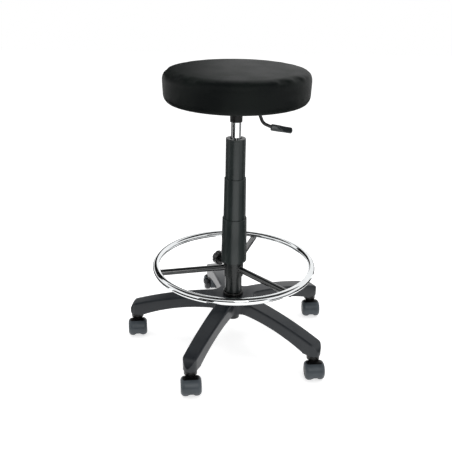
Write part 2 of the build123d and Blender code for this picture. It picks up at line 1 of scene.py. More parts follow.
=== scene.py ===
"""Looks of a height-adjustable round stool: padded seat, gas lift, foot ring and a five-caster base.

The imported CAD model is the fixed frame. Lengths are in metres, and in millimetres where a name ends in _mm.
"""

import logging
import math
from collections.abc import Iterable, Sequence
from dataclasses import dataclass
from enum import Enum

import bmesh
import bpy
from mathutils import Matrix, Vector, noise

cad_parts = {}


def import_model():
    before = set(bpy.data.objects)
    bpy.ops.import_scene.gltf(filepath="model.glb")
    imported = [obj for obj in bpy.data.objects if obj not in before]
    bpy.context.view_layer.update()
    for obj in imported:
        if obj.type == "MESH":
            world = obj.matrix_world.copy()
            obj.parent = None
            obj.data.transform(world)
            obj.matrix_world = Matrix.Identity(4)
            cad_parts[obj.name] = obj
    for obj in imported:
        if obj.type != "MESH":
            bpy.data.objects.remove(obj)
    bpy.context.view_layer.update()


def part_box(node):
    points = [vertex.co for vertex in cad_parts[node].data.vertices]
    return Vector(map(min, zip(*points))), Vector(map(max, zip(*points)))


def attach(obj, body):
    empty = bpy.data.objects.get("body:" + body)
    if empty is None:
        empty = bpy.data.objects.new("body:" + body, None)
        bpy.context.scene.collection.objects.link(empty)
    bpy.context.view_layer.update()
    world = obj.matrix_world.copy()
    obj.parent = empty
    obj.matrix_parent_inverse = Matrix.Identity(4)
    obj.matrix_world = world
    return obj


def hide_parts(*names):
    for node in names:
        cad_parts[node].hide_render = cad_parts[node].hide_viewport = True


LOG = logging.getLogger("stool")
MM = 0.001
COLOUR_A, COLOUR_B, MIXED = 6, 7, 2  # colour sockets of a Mix node
WAVE_RATE = 20.0  # a Wave texture turns this many radians for each unit of its scale
EDGE_FLAT, EDGE_SHARP = 0.995, 0.86  # cosines between true and rounded normal where the lighter edge starts and is full
EDGE_WEAR_AND_HIGHLIGHT = 0.75  # the most of the edge colour that shows


# ---- small tools ---------------------------------------------------------------


def linear(colour: str) -> tuple[float, float, float, float]:
    """Turn an sRGB hex colour into linear light.

    Args:
        colour: The colour as #rrggbb.

    Returns:
        Red, green, blue and an alpha of one, in linear light.
    """
    channels = [int(colour[start : start + 2], 16) / 255 for start in (1, 3, 5)]
    light = [c / 12.92 if c <= 0.04045 else ((c + 0.055) / 1.055) ** 2.4 for c in channels]
    return light[0], light[1], light[2], 1.0


def smooth(low: float, high: float, value: float) -> float:
    """Ease from 0 at low to 1 at high.

    Args:
        low: Where the step starts.
        high: Where the step ends.
        value: Where it is read.

    Returns:
        A number from 0 to 1.
    """
    share = min(1.0, max(0.0, (value - low) / (high - low)))
    return share * share * (3 - 2 * share)


def band(edge: float, limits: tuple[float, float], reach: float) -> float:
    """Ease from 0 to 1 between two radii, each given by how far it lies inside an edge."""
    return smooth(edge - limits[0], edge - limits[1], reach)


def add_node(
    tree: bpy.types.NodeTree,
    kind: str,
    inputs: dict[str | int, object] | None = None,
    settings: dict[str, object] | None = None,
) -> bpy.types.Node:
    """Add a node with its settings, and set or link its inputs.

    Args:
        tree: The node tree it goes into.
        kind: The node's type name.
        inputs: Input name or index to a value, or to an output socket to link from.
        settings: Node property to value.

    Returns:
        The new node.
    """
    node = tree.nodes.new(kind)
    for name, value in (settings or {}).items():
        setattr(node, name, value)
    for key, value in (inputs or {}).items():
        if isinstance(value, bpy.types.NodeSocket):
            tree.links.new(value, node.inputs[key])
        else:
            node.inputs[key].default_value = value
    return node


def mesh_object(name: str, points: Sequence[Vector], faces: Sequence[Sequence[int]]) -> bpy.types.Object:
    """Make a smooth-shaded mesh object from points and faces.

    Args:
        name: The piece's name.
        points: The vertices.
        faces: Vertex numbers of each face.

    Returns:
        The new object, in the scene.
    """
    mesh = bpy.data.meshes.new(name)
    mesh.from_pydata([tuple(p) for p in points], [], [list(f) for f in faces])
    body = bmesh.new()
    body.from_mesh(mesh)
    bmesh.ops.recalc_face_normals(body, faces=body.faces)
    body.to_mesh(mesh)
    body.free()
    mesh.polygons.foreach_set("use_smooth", [True] * len(mesh.polygons))
    piece = bpy.data.objects.new(name, mesh)
    bpy.context.scene.collection.objects.link(piece)
    return piece


def loft(name: str, rings: Sequence[Sequence[Vector]]) -> bpy.types.Object:
    """Skin a closed body over rings of points, capped at both ends.

    Args:
        name: The piece's name.
        rings: Rings with the same number of points, in order.

    Returns:
        The new object.
    """
    size = len(rings[0])
    points = [p for ring in rings for p in ring]
    faces = [
        (a * size + i, a * size + (i + 1) % size, (a + 1) * size + (i + 1) % size, (a + 1) * size + i)
        for a in range(len(rings) - 1)
        for i in range(size)
    ]
    faces.append(tuple(reversed(range(size))))
    faces.append(tuple(range(len(points) - size, len(points))))
    return mesh_object(name, points, faces)


def lathe(name: str, outline: Sequence[tuple[float, float]], count: int) -> bpy.types.Object:
    """Turn an outline about the stool's axis.

    Args:
        name: The piece's name.
        outline: Radius and height, from a pole to the other pole.
        count: Steps around.

    Returns:
        The new object.
    """
    turns = [2 * math.pi * i / count for i in range(count)]
    rings = [[Vector((r * math.cos(t), r * math.sin(t), z)) for t in turns] for r, z in outline]
    return loft(name, rings)


def applied(piece: bpy.types.Object) -> None:
    """Replace a piece's mesh by the result of its modifiers.

    Args:
        piece: The mesh object, which is changed.
    """
    graph = bpy.context.evaluated_depsgraph_get()
    mesh = bpy.data.meshes.new_from_object(piece.evaluated_get(graph))
    piece.modifiers.clear()
    piece.data = mesh


# ---- finishes --------------------------------------------------------------------


class Grain(Enum):
    """The texture that a surface's making leaves."""

    ERODED = "fine matt sand of a spark-eroded mould"
    POWDER = "soft orange peel of stoved powder coat"
    POLISHED = "polished plating with a faint haze"
    TURNED = "fine turning lines round the axis"
    LEATHERETTE = "embossed pebble of coated upholstery cloth"
    FELT = "random fibres of spun-bond cloth"
    VENEER = "plies and long wood fibres"
    RUBBER = "dull bloom of moulded rubber"


@dataclass(frozen=True)
class Finish:
    """A real surface: its colours, its shine and the grain its making leaves.

    Args:
        name: The material's name.
        slot: The record's material slot.
        tone: Main colour.
        tint: Second colour, in soft patches.
        rough: Middle roughness.
        grain: Kind of texture.
        grain_mm: Width of one grain; turned lines stand 2 pi times as far apart.
        depth_mm: Height of the grain.
        spread: How far the roughness wanders.
        metallic: One for bare metal.
        ior: Index of refraction.
        sheen: Weight of the fibre sheen.
        coat: Weight of a clear top layer.
        patch_mm: Width of the colour patches.
        edge: Lighter colour along edges, for rubbing wear and, on the covers, a painted highlight; or empty.
        edge_mm: Width of the lighter edge.
        painted_shade_tone: Near-black painted shade above painted_shade_mm, or empty.
        painted_shade_mm: Height on the object where the painted shade starts.
    """

    name: str
    slot: str
    tone: str
    tint: str
    rough: float
    grain: Grain
    grain_mm: float
    depth_mm: float
    spread: float = 0.05
    metallic: float = 0.0
    ior: float = 1.5
    sheen: float = 0.0
    coat: float = 0.0
    patch_mm: float = 70.0
    edge: str = ""
    edge_mm: float = 1.2
    painted_shade_tone: str = ""
    painted_shade_mm: float = 0.0

    def height(self, tree: bpy.types.NodeTree, place: bpy.types.NodeSocket) -> bpy.types.NodeSocket:
        """Draw the grain as a height.

        Args:
            tree: The material's nodes.
            place: Position on the object.

        Returns:
            A socket from about 0 to 1.
        """
        scale = 1.0 / (self.grain_mm * MM)
        fine = {"Vector": place, "Scale": scale, "Detail": 2.0, "Roughness": 0.6}
        if self.grain in (Grain.POWDER, Grain.RUBBER, Grain.POLISHED):
            fine["Detail"] = 0.5
        if self.grain is Grain.LEATHERETTE:
            pebble = add_node(
                tree,
                "ShaderNodeTexVoronoi",
                {"Vector": place, "Scale": scale},
                {"feature": "DISTANCE_TO_EDGE"},
            )
            creases = add_node(
                tree,
                "ShaderNodeMapRange",
                {"Value": pebble.outputs["Distance"], "From Max": 0.25},
                {"interpolation_type": "SMOOTHSTEP"},
            )
            return creases.outputs["Result"]
        if self.grain is Grain.TURNED:
            lines = add_node(
                tree,
                "ShaderNodeTexWave",
                {"Vector": place, "Scale": scale / WAVE_RATE, "Distortion": 0.4, "Detail": 2.0},
                {"wave_type": "BANDS", "bands_direction": "Z"},
            )
            return lines.outputs["Fac"]
        if self.grain is Grain.VENEER:
            long_fibres = add_node(tree, "ShaderNodeMapping", {"Vector": place, "Scale": (0.06, 1.0, 2.5)})
            fine["Vector"] = long_fibres.outputs["Vector"]
        if self.grain is Grain.FELT:
            fine["Distortion"] = 2.5
        return add_node(tree, "ShaderNodeTexNoise", fine).outputs["Fac"]

    def rubbed_and_highlit_edges(
        self, tree: bpy.types.NodeTree, colour: bpy.types.NodeSocket, patches: bpy.types.NodeSocket
    ) -> bpy.types.NodeSocket:
        """Lighten the colour along edges: wear where hands and boots rub, and a painted highlight on the
        covers.

        Args:
            tree: The material's nodes.
            colour: The colour so far.
            patches: A soft noise that breaks the lighter edge up.

        Returns:
            The colour with its lightened edges.
        """
        rounded = add_node(tree, "ShaderNodeBevel", {"Radius": self.edge_mm * MM}, {"samples": 4})
        true = add_node(tree, "ShaderNodeNewGeometry")
        along = add_node(
            tree,
            "ShaderNodeVectorMath",
            {0: rounded.outputs["Normal"], 1: true.outputs["Normal"]},
            {"operation": "DOT_PRODUCT"},
        )
        worn_and_lit = add_node(
            tree,
            "ShaderNodeMapRange",
            {
                "Value": along.outputs["Value"],
                "From Min": EDGE_FLAT,
                "From Max": EDGE_SHARP,
                "To Max": EDGE_WEAR_AND_HIGHLIGHT,
            },
        )
        broken = add_node(
            tree, "ShaderNodeMath", {0: worn_and_lit.outputs["Result"], 1: patches}, {"operation": "MULTIPLY"}
        )
        mix = add_node(
            tree,
            "ShaderNodeMix",
            {0: broken.outputs[0], COLOUR_A: colour, COLOUR_B: linear(self.edge)},
            {"data_type": "RGBA"},
        )
        return mix.outputs[MIXED]

    def above(
        self, tree: bpy.types.NodeTree, colour: bpy.types.NodeSocket, place: bpy.types.NodeSocket
    ) -> bpy.types.NodeSocket:
        """Darken the colour above a height with painted shade, which stands for the base arm's shade on the
        caster neck.

        Args:
            tree: The material's nodes.
            colour: The colour below.
            place: Position on the object.

        Returns:
            The colour with its painted shade above the height.
        """
        seam = 0.2  # half the width of the change, in millimetres
        parts = add_node(tree, "ShaderNodeSeparateXYZ", {"Vector": place})
        share = add_node(
            tree,
            "ShaderNodeMapRange",
            {
                "Value": parts.outputs["Z"],
                "From Min": (self.painted_shade_mm - seam) * MM,
                "From Max": (self.painted_shade_mm + seam) * MM,
            },
        )
        mix = add_node(
            tree,
            "ShaderNodeMix",
            {0: share.outputs["Result"], COLOUR_A: colour, COLOUR_B: linear(self.painted_shade_tone)},
            {"data_type": "RGBA"},
        )
        return mix.outputs[MIXED]

    def material(self) -> bpy.types.Material:
        """Make the finish's material.

        Returns:
            The new material.
        """
        made = bpy.data.materials.new(self.name)
        made.use_nodes = True
        tree = made.node_tree
        tree.nodes.clear()
        place = add_node(tree, "ShaderNodeTexCoord").outputs["Object"]
        patches = add_node(
            tree, "ShaderNodeTexNoise", {"Vector": place, "Scale": 1.0 / (self.patch_mm * MM), "Detail": 3.0}
        ).outputs["Fac"]
        height = self.height(tree, place)
        soft = add_node(
            tree,
            "ShaderNodeMapRange",
            {"Value": patches, "From Min": 0.3, "From Max": 0.7},
            {"interpolation_type": "SMOOTHSTEP"},
        ).outputs["Result"]
        colour = add_node(
            tree,
            "ShaderNodeMix",
            {0: soft, COLOUR_A: linear(self.tone), COLOUR_B: linear(self.tint)},
            {"data_type": "RGBA"},
        ).outputs[MIXED]
        # edge colour: rubbing wear on most finishes, a painted highlight along the covers' rims
        if self.edge:
            colour = self.rubbed_and_highlit_edges(tree, colour, patches)
        # painted shade: the caster neck under the base arm turns near-black above this height
        if self.painted_shade_tone:
            colour = self.above(tree, colour, place)
        blotched = add_node(tree, "ShaderNodeMath", {0: soft, 1: height}, {"operation": "ADD"})
        rough = add_node(
            tree,
            "ShaderNodeMapRange",
            {
                "Value": blotched.outputs[0],
                "From Max": 2.0,
                "To Min": self.rough - self.spread,
                "To Max": self.rough + self.spread,
            },
        )
        bump = add_node(
            tree, "ShaderNodeBump", {"Strength": 1.0, "Distance": self.depth_mm * MM, "Height": height}
        )
        shader = add_node(
            tree,
            "ShaderNodeBsdfPrincipled",
            {
                "Base Color": colour,
                "Metallic": self.metallic,
                "Roughness": rough.outputs["Result"],
                "IOR": self.ior,
                "Normal": bump.outputs["Normal"],
                "Sheen Weight": self.sheen,
                "Sheen Roughness": 0.4,
                "Coat Weight": self.coat,
                "Coat Roughness": 0.12,
            },
        )
        add_node(tree, "ShaderNodeOutputMaterial", {"Surface": shader.outputs["BSDF"]})
        return made


# Glass-filled polyamide, moulded against a spark-eroded steel tool: a sandy satin that greys at grazing
# angles. The sand is drawn at 0.9 mm, coarser than real, so that it shows.
BASE_NYLON = Finish(
    "glass-filled polyamide, spark-eroded", "base_nylon", "#1d2126", "#23282d", 0.31, Grain.ERODED, 0.9, 0.03,
    ior=1.45, patch_mm=90.0, edge="#5a6164", edge_mm=1.6,
)
# Unfilled polyamide of the caster bodies: bluer, lighter and smoother than the base. Above the hood
# the swivel neck is painted near-black: painted shade, where the base arm shades it.
CASTER_NYLON = Finish(
    "polyamide caster body, moulded", "caster_nylon", "#40474c", "#495056", 0.34, Grain.ERODED, 0.8, 0.02,
    ior=1.45, patch_mm=30.0, edge="#6a7178", edge_mm=1.0, painted_shade_tone="#060607", painted_shade_mm=49.5,
)
# Polyamide tread: darker, polished by rolling, with dust in the fine grain.
WHEEL_NYLON = Finish(
    "polyamide wheel, polished by rolling", "wheel_nylon", "#191b1d", "#24272a", 0.34, Grain.ERODED, 0.7,
    0.02, ior=1.53, patch_mm=14.0, edge="#3d4144", edge_mm=0.8,
)
# Polypropylene telescopic covers: soft satin, an even fine sand, drawn at 0.8 mm. The lighter edge
# colour is a painted highlight along the rims.
COVER_PLASTIC = Finish(
    "polypropylene cover, fine satin", "cover_plastic", "#1c2424", "#232c2b", 0.30, Grain.ERODED, 0.8, 0.012,
    ior=1.55, patch_mm=120.0, edge="#5a6161", edge_mm=1.6,
)
# ABS trim, moulded against polished steel: shinier than the nylon, hardly any grain.
TRIM_PLASTIC = Finish(
    "ABS trim ring, semi-gloss", "trim_plastic", "#070808", "#0b0c0c", 0.18, Grain.ERODED, 0.6, 0.004, ior=1.4
)
# Acetal turned on a lathe: a waxy dark grey with faint lines round it.
BUSH_PLASTIC = Finish(
    "acetal bearing bush, turned", "bush_plastic", "#2a2b2c", "#313234", 0.35, Grain.TURNED, 0.5, 0.01,
    ior=1.48,
)
# Stoved epoxy-polyester powder over steel tube: a gentle orange peel about 2.5 mm wide under a
# semi-gloss skin.
COLUMN_PAINT = Finish(
    "semi-gloss powder coat on column", "column_paint", "#151a1a", "#1a2020", 0.30, Grain.POWDER, 2.5, 0.012,
    patch_mm=150.0, edge="#303436",
)
# The same powder with a clear flow coat: sharp, bright lines along the spokes.
SPOKE_PAINT = Finish(
    "gloss powder coat on spokes", "spoke_paint", "#101415", "#161a1b", 0.16, Grain.POWDER, 2.2, 0.010,
    ior=1.6, coat=0.6, patch_mm=60.0, edge="#2c3032",
)
# A thin matt powder on pressed plate: nearly black, with a coarser peel.
PLATE_PAINT = Finish(
    "matt powder coat on seat plate", "plate_paint", "#090a0a", "#0d0e0f", 0.40, Grain.POWDER, 2.0, 0.02,
    ior=1.4, edge="#2a2c2d",
)
# Powder on bent rod: a soft line of light that follows the bends.
LEVER_PAINT = Finish(
    "semi-gloss powder coat on lever", "lever_paint", "#131516", "#1a1c1e", 0.28, Grain.POWDER, 1.8, 0.01,
    patch_mm=20.0, edge="#34383a", edge_mm=0.6,
)
# Bright nickel-chrome plate on polished tube: a near mirror whose haze wanders a little.
CHROME = Finish(
    "nickel-chrome plate, polished", "chrome", "#f3f5f6", "#eaedee", 0.08, Grain.POLISHED, 9.0, 0.0003,
    spread=0.03, metallic=1.0, patch_mm=45.0,
)
# Steel turned or ground bright: a cool grey shine drawn out round the axis.
BRIGHT_STEEL = Finish(
    "bright ground steel", "steel", "#a9abac", "#b4b6b7", 0.26, Grain.TURNED, 0.4, 0.004,
    metallic=1.0, patch_mm=20.0,
)
# Steel with a clear zinc flash: duller, with faint yellowish clouds.
ZINC_STEEL = Finish(
    "zinc-plated steel, clear passivated", "zinc_steel", "#a5a7a3", "#b9bab0", 0.33, Grain.POWDER, 1.2, 0.01,
    metallic=1.0, patch_mm=9.0,
)
# Black nitrile rubber: dull, with a greyish bloom.
RUBBER = Finish(
    "nitrile rubber, moulded", "rubber_black", "#101111", "#1a1b1b", 0.62, Grain.RUBBER, 1.5, 0.02, ior=1.52
)
# Vinyl-coated upholstery cloth, stretched: pebble emboss drawn at 2.2 mm, about twice real, in a soft
# satin skin. Its index is set below a solid vinyl's, to match how little the cloth shines.
SEAT_CLOTH = Finish(
    "vinyl-coated seat cloth, embossed", "seat_cloth", "#0c1010", "#111614", 0.50, Grain.LEATHERETTE,
    2.2, 0.018, ior=1.22, patch_mm=80.0,
)
# Spun-bond polypropylene under the seat: thin matted fibres with a dry sheen.
UNDERSIDE_CLOTH = Finish(
    "spun-bond underside cloth", "underside_cloth", "#0d0d0d", "#161616", 0.85, Grain.FELT, 1.6, 0.06,
    sheen=0.25, patch_mm=12.0,
)
# Birch plywood, rotary cut: pale fibres running one way.
PLYWOOD = Finish(
    "birch plywood, rotary cut", "plywood", "#c2a273", "#a98655", 0.6, Grain.VENEER, 3.0, 0.04, patch_mm=25.0
)
# Polyamide paddle, greyer than the rod, with a fine satin grain.
HANDLE_PLASTIC = Finish(
    "polyamide lever paddle, moulded", "handle_plastic", "#34393a", "#3c4244", 0.30, Grain.ERODED, 0.7, 0.015,
    ior=1.53, patch_mm=15.0, edge="#565d5f", edge_mm=0.7,
)
# Phenolic resin, compression moulded: hard and dark, with crisp highlights on its lobes.
KNOB_PLASTIC = Finish(
    "phenolic clamp knob, moulded", "knob_plastic", "#131415", "#191b1c", 0.27, Grain.ERODED, 0.7, 0.01,
    ior=1.6, patch_mm=18.0, edge="#35383a", edge_mm=0.8,
)
# Red acetal of the valve button, turned: a small warm spot inside the mechanism box.
BUTTON_PLASTIC = Finish(
    "acetal valve button", "button_plastic", "#8c1f1a", "#97261f", 0.33, Grain.TURNED, 0.5, 0.008, ior=1.48
)
FINISHES = (
    BASE_NYLON, CASTER_NYLON, WHEEL_NYLON, COVER_PLASTIC, TRIM_PLASTIC, BUSH_PLASTIC, COLUMN_PAINT,
    SPOKE_PAINT, PLATE_PAINT, LEVER_PAINT, CHROME, BRIGHT_STEEL, ZINC_STEEL, RUBBER, SEAT_CLOTH,
    UNDERSIDE_CLOTH, PLYWOOD, HANDLE_PLASTIC, KNOB_PLASTIC, BUTTON_PLASTIC,
)


@dataclass
class PaintShop:
    """Keeps one material for each finish and puts it on pieces."""

    made: dict[str, bpy.types.Material]

    @classmethod
    def open(cls) -> "PaintShop":
        """Make every finish once."""
        return cls({finish.slot: finish.material() for finish in FINISHES})

    def dress(self, piece: bpy.types.Object, finish: Finish) -> None:
        """Give a piece a finish as its only material.

        Args:
            piece: The mesh object.
            finish: What its surface is.
        """
        piece.data.materials.clear()
        piece.data.materials.append(self.made[finish.slot])
        LOG.info("%s: %s", piece.name, finish.name)

    def dress_node(self, name: str, finish: Finish) -> None:
        """Give a carried-over CAD node a finish."""
        self.dress(bpy.data.objects[name], finish)


# ---- seat --------------------------------------------------------------------------


@dataclass
class Seat:
    """Round upholstered seat on a plywood disc, with its plate and fastenings underneath."""

    shop: PaintShop
    inset: float = 1.0 * MM  # the pad's top is blown up from this far inside its finished surface
    stand_out: float = 1.9 * MM  # the cover's side stands this far proud of the plain solid
    crown: float = 1.6 * MM  # the top stands this much higher in the middle than where its rim starts
    crown_line: tuple[tuple[float, float], ...] = ((0.35, 0.1), (0.7, 0.4))  # radius share, fall share
    bottom_line: tuple[float, ...] = (0.6, 0.3)  # radius shares of the flat bottom's rings
    top_round: float = 19 * MM
    top_reach: float = 32 * MM  # the rim rolls off over this much of the radius
    bottom_round: float = 11 * MM
    bottom_inset: float = 0.5 * MM
    waist: float = 2.0 * MM  # how far the side draws in towards the bottom
    pole: float = 1 * MM  # the outline's ends keep this far off the axis
    around: int = 96
    voxel: float = 5 * MM
    swell: float = 3.6 * MM  # the most that the air moves the cover outwards
    air: float = 4.0
    frames: int = 20
    held_inside: float = 6 * MM  # the pad is held from this far inside the board's edge
    free_outside: float = 4 * MM  # and free from this far outside it
    evening: int = 5  # rounds of smoothing
    hem_radius: float = 150 * MM
    hem_drop: float = 0.3 * MM
    hem_band: float = 2 * MM  # the bottom's faces up to this far above the board's underside are cut away
    clear: float = 0.4 * MM  # room left round the board
    nut_cap_radius: float = 40 * MM  # inside this radius the lining closes over the T-nuts
    pleats: int = 36  # one between each pair of staples
    pleat_turn: float = math.radians(5)
    pleat_depth: float = 1.3 * MM
    pleat_band: tuple[float, float] = (12 * MM, 27 * MM)  # bands are measured inwards from the edge
    roll: float = 3.6 * MM  # the foam bulges this far below the board's edge
    roll_start: tuple[float, float] = (27 * MM, 15 * MM)
    roll_end: tuple[float, float] = (1 * MM, 11 * MM)
    pull_depth: float = 1.6 * MM
    pull_band: tuple[float, float] = (34 * MM, 12 * MM)
    side_ripple: float = 0.25 * MM
    side_band: tuple[float, float] = (30 * MM, 10 * MM)
    cloth_rings: int = 30
    cloth_around: int = 144
    cloth_gap: float = 0.15 * MM  # between the cloth and the board
    cloth_sag: float = 1.8 * MM
    cloth_free: float = 18 * MM  # the sag grows over this far from the plate
    cloth_edge: float = 14 * MM  # and dies away over this far from the hem
    cloth_thickness: float = 0.5 * MM

    def outline(self) -> list[tuple[float, float]]:
        """Outline of the uninflated pad, from the top pole to the bottom pole.

        Returns:
            Radius and height pairs.
        """
        low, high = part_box("seat_cover")
        radius = high.x + self.stand_out
        top, bottom = high.z - self.inset, low.z + self.bottom_inset
        steps = [math.radians(a) for a in range(0, 91, 10)]
        points = [(self.pole, top)]
        points += [(radius * share, top - fall * self.crown) for share, fall in self.crown_line]
        centre_r, centre_z = radius - self.top_reach, top - self.crown - self.top_round
        points += [
            (centre_r + self.top_reach * math.sin(a), centre_z + self.top_round * math.cos(a)) for a in steps
        ]
        centre_r = radius - self.waist - self.bottom_round
        centre_z = bottom + self.bottom_round
        points += [
            (centre_r + self.bottom_round * math.cos(a), centre_z - self.bottom_round * math.sin(a))
            for a in steps
        ]
        return points + [(radius * share, bottom) for share in self.bottom_line] + [(self.pole, bottom)]

    def inflate(self, pad: bpy.types.Object) -> None:
        """Blow the pad up like the foam that fills its cover, held flat where it lies on the board.

        Args:
            pad: The remeshed pad, which is changed.
        """
        board_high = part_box("seat_board")[1]
        inner, outer = board_high.x - self.held_inside, board_high.x + self.free_outside
        floor = pad.vertex_groups.new(name="on_board")
        start = [v.co.copy() for v in pad.data.vertices]
        outwards = [v.normal.copy() for v in pad.data.vertices]
        for number, point in enumerate(start):
            held = 1.0 - smooth(inner, outer, math.hypot(point.x, point.y))
            if point.z < board_high.z and held > 0:
                floor.add([number], held, "REPLACE")
        cloth = pad.modifiers.new("cover", "CLOTH")
        cloth.settings.use_pressure = True
        cloth.settings.uniform_pressure_force = self.air
        cloth.settings.effector_weights.gravity = 0.0
        cloth.settings.vertex_group_mass = floor.name
        cloth.point_cache.frame_end = self.frames
        scene = bpy.context.scene
        for frame in range(1, self.frames + 1):
            scene.frame_set(frame)
        applied(pad)
        for vertex, origin, outward in zip(pad.data.vertices, start, outwards):
            rise = min(self.swell, max(0.0, (vertex.co - origin).dot(outward)))
            vertex.co = origin + outward * rise
        scene.frame_set(1)

    def hem(self, pad: bpy.types.Object) -> None:
        """Turn the cover in under the board, leaving the room that the board takes.

        Args:
            pad: The blown-up pad, which is changed.
        """
        low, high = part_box("seat_cover")
        board_low, board_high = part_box("seat_board")
        nuts_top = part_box("t_nuts")[1].z
        body = bmesh.new()
        body.from_mesh(pad.data)
        middle = (low.z + high.z) / 2
        inner = [
            f
            for f in body.faces
            if f.calc_center_median().z < middle
            and max(math.hypot(v.co.x, v.co.y) for v in f.verts) < self.hem_radius + self.voxel
            and f.calc_center_median().z < board_low.z + self.hem_band
        ]
        bmesh.ops.delete(body, geom=inner, context="FACES")
        rim = [e for e in body.edges if e.is_boundary]
        steps = (
            (self.hem_radius, low.z + self.hem_drop),
            (self.hem_radius, board_low.z - self.clear / 2),
            (board_high.x + self.clear, board_low.z - self.clear / 2),
            (board_high.x + self.clear, board_high.z + self.clear),
            (self.nut_cap_radius, nuts_top + self.clear),
        )
        for radius, z in steps:
            made = bmesh.ops.extrude_edge_only(body, edges=rim)["geom"]
            rim = [g for g in made if isinstance(g, bmesh.types.BMEdge)]
            for vertex in {v for e in rim for v in e.verts}:
                turn = math.atan2(vertex.co.y, vertex.co.x)
                vertex.co = (radius * math.cos(turn), radius * math.sin(turn), z)
        rim = [e for e in body.edges if e.is_boundary]
        bmesh.ops.contextual_create(body, geom=rim)
        bmesh.ops.recalc_face_normals(body, faces=body.faces)
        body.to_mesh(pad.data)
        body.free()

    def gather(self, pad: bpy.types.Object) -> None:
        """Sculpt what stretching leaves: pleats under the seat and shallow pulls over its edges.

        Args:
            pad: The pad, which is changed.
        """
        low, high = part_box("seat_cover")
        board_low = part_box("seat_board")[0]
        middle = (low.z + high.z) / 2
        for vertex in pad.data.vertices:
            point = vertex.co
            reach = math.hypot(point.x, point.y)
            turn = math.atan2(point.y, point.x)
            under = point.z < board_low.z - 0.5 * MM or (reach > high.x - 30 * MM and point.z < middle)
            wander = noise.noise(Vector((math.cos(turn) * 3, math.sin(turn) * 3, 0.3)))
            fold = 0.5 - 0.5 * math.cos(self.pleats * (turn - self.pleat_turn) + 0.6 * wander)
            if under and reach > self.hem_radius - 1 * MM:
                depth = self.pleat_depth * (fold**1.5) * (0.7 + 0.6 * wander)
                strength = band(high.x, self.pleat_band, reach) * smooth(middle, low.z + 4 * MM, point.z)
                point.z -= depth * strength
                bulge = band(high.x, self.roll_start, reach) * band(high.x, self.roll_end, reach)
                point.z -= self.roll * bulge
            over = band(high.x, self.pull_band, reach) * smooth(middle - 8 * MM, high.z - 8 * MM, point.z)
            first = noise.noise(Vector((turn * 5.0, reach * 22.0, 4.1)))
            second = noise.noise(Vector((turn * 1.6, 2.0, 7.7)))
            point.z -= self.pull_depth * over * max(0.0, first * second)
            out = Vector((point.x, point.y, 0.0)).normalized()
            lower = band(high.x, self.side_band, reach) * smooth(middle, low.z + 16 * MM, point.z)
            point += out * (self.side_ripple * lower * (fold - 0.5))

    def pad(self) -> None:
        """Build the padded cushion that stands for the cover and the foam."""
        pad = lathe("seat_cushion", self.outline(), self.around)
        remesh = pad.modifiers.new("skin", "REMESH")
        remesh.mode = "VOXEL"
        remesh.voxel_size = self.voxel
        applied(pad)
        self.inflate(pad)
        pad.modifiers.new("even", "SMOOTH").iterations = self.evening
        applied(pad)
        finer = pad.modifiers.new("finer", "SUBSURF")
        finer.levels = finer.render_levels = 1
        applied(pad)
        self.hem(pad)
        self.gather(pad)
        pad.data.polygons.foreach_set("use_smooth", [True] * len(pad.data.polygons))
        self.shop.dress(pad, SEAT_CLOTH)
        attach(pad, "seat")
        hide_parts("seat_cover", "seat_foam")

    def underside(self) -> None:
        """Build the thin cloth stretched under the board, clamped flat by the plate."""
        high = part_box("dust_cover")[1]
        plate_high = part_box("seat_plate")[1]
        radius, top = high.x, high.z - self.cloth_gap
        rings, around = self.cloth_rings, self.cloth_around
        upper = []
        for step in range(1, rings + 1):
            reach = radius * step / rings
            ring = []
            for spot in range(around):
                turn = 2 * math.pi * spot / around
                x, y = reach * math.cos(turn), reach * math.sin(turn)
                free = smooth(0.0, self.cloth_free, max(abs(x), abs(y)) - plate_high.x)
                free *= smooth(radius, radius - self.cloth_edge, reach)
                ripple = 0.7 + 0.5 * noise.noise(Vector((x, y, 0.0)) * 45)
                ring.append(Vector((x, y, top - self.cloth_sag * free * ripple)))
            upper.append(ring)
        centre = Vector((0.0, 0.0, top))
        points = [centre] + [p for ring in upper for p in ring]
        faces: list[tuple[int, ...]] = [(0, 1 + i, 1 + (i + 1) % around) for i in range(around)]
        for step in range(rings - 1):
            a, b = 1 + step * around, 1 + (step + 1) * around
            faces += [(a + i, b + i, b + (i + 1) % around, a + (i + 1) % around) for i in range(around)]
        cloth = mesh_object("underside_cloth", points, faces)
        thick = cloth.modifiers.new("thickness", "SOLIDIFY")
        thick.thickness = self.cloth_thickness
        thick.offset = -1.0 if cloth.data.polygons[0].normal.z > 0 else 1.0
        applied(cloth)
        self.shop.dress(cloth, UNDERSIDE_CLOTH)
        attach(cloth, "seat")
        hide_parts("dust_cover")

    def build(self) -> None:
        """Make and dress the whole seat."""
        self.pad()
        self.underside()
        self.shop.dress_node("seat_board", PLYWOOD)
        self.shop.dress_node("seat_plate", PLATE_PAINT)
        for name in ("staples", "t_nuts", "plate_bolts", "plate_washers"):
            self.shop.dress_node(name, ZINC_STEEL)
        self.shop.dress_node("lever_pin", BRIGHT_STEEL)


# ---- lever -------------------------------------------------------------------------


